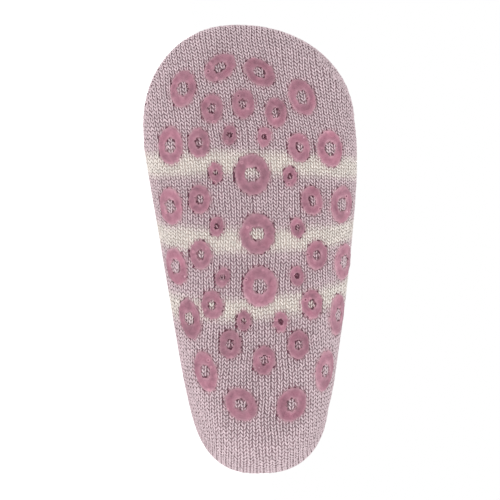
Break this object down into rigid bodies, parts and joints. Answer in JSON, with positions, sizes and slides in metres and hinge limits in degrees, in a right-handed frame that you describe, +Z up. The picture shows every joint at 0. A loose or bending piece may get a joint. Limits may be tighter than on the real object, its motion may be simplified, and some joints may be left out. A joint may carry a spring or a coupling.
{
  "type": "slipper sock",
  "caption": "Child's short knitted slipper sock with a printed ring grip sole, lying on its side, hollow and open at the ribbed cuff.",
  "frame": {"origin": "middle of the bounding box's footprint, on the plane the sock lies on", "axes": "+X from the toe towards the heel, +Y from the sole towards the cuff, so that the sole faces -Y, +Z up from the side that the sock lies on"},
  "size_m": [0.1198, 0.0858, 0.0566],
  "materials": {
    "knit": "plain knit in dusty mauve and pale pink melange with cream bands, napless, matt",
    "grip_silicone": "dusky pink printed silicone, soft satin gloss"
  },
  "bodies": {
    "root": {"sock": "knit", "grip_01_l": "grip_silicone", "grip_01_r": "grip_silicone", "grip_02_l": "grip_silicone", "grip_02_r": "grip_silicone", "grip_03_c": "grip_silicone", "grip_04_l": "grip_silicone", "grip_04_r": "grip_silicone", "grip_05_l": "grip_silicone", "grip_05_r": "grip_silicone", "grip_06_l": "grip_silicone", "grip_06_r": "grip_silicone", "grip_07_l": "grip_silicone", "grip_07_r": "grip_silicone", "grip_08_l": "grip_silicone", "grip_08_r": "grip_silicone", "grip_09_c": "grip_silicone", "grip_10_l": "grip_silicone", "grip_10_r": "grip_silicone", "grip_11_l": "grip_silicone", "grip_11_r": "grip_silicone", "grip_12_l": "grip_silicone", "grip_12_r": "grip_silicone", "grip_13_c": "grip_silicone", "grip_14_l": "grip_silicone", "grip_14_r": "grip_silicone", "grip_15_l": "grip_silicone", "grip_15_r": "grip_silicone", "grip_16_l": "grip_silicone", "grip_16_r": "grip_silicone", "grip_17_c": "grip_silicone", "grip_18_l": "grip_silicone", "grip_18_r": "grip_silicone", "grip_19_l": "grip_silicone", "grip_19_r": "grip_silicone", "grip_20_l": "grip_silicone", "grip_20_r": "grip_silicone", "grip_21_l": "grip_silicone", "grip_21_r": "grip_silicone", "grip_22_c": "grip_silicone", "grip_23_l": "grip_silicone", "grip_23_r": "grip_silicone", "grip_24_l": "grip_silicone", "grip_24_r": "grip_silicone"}
  },
  "joints": []
}
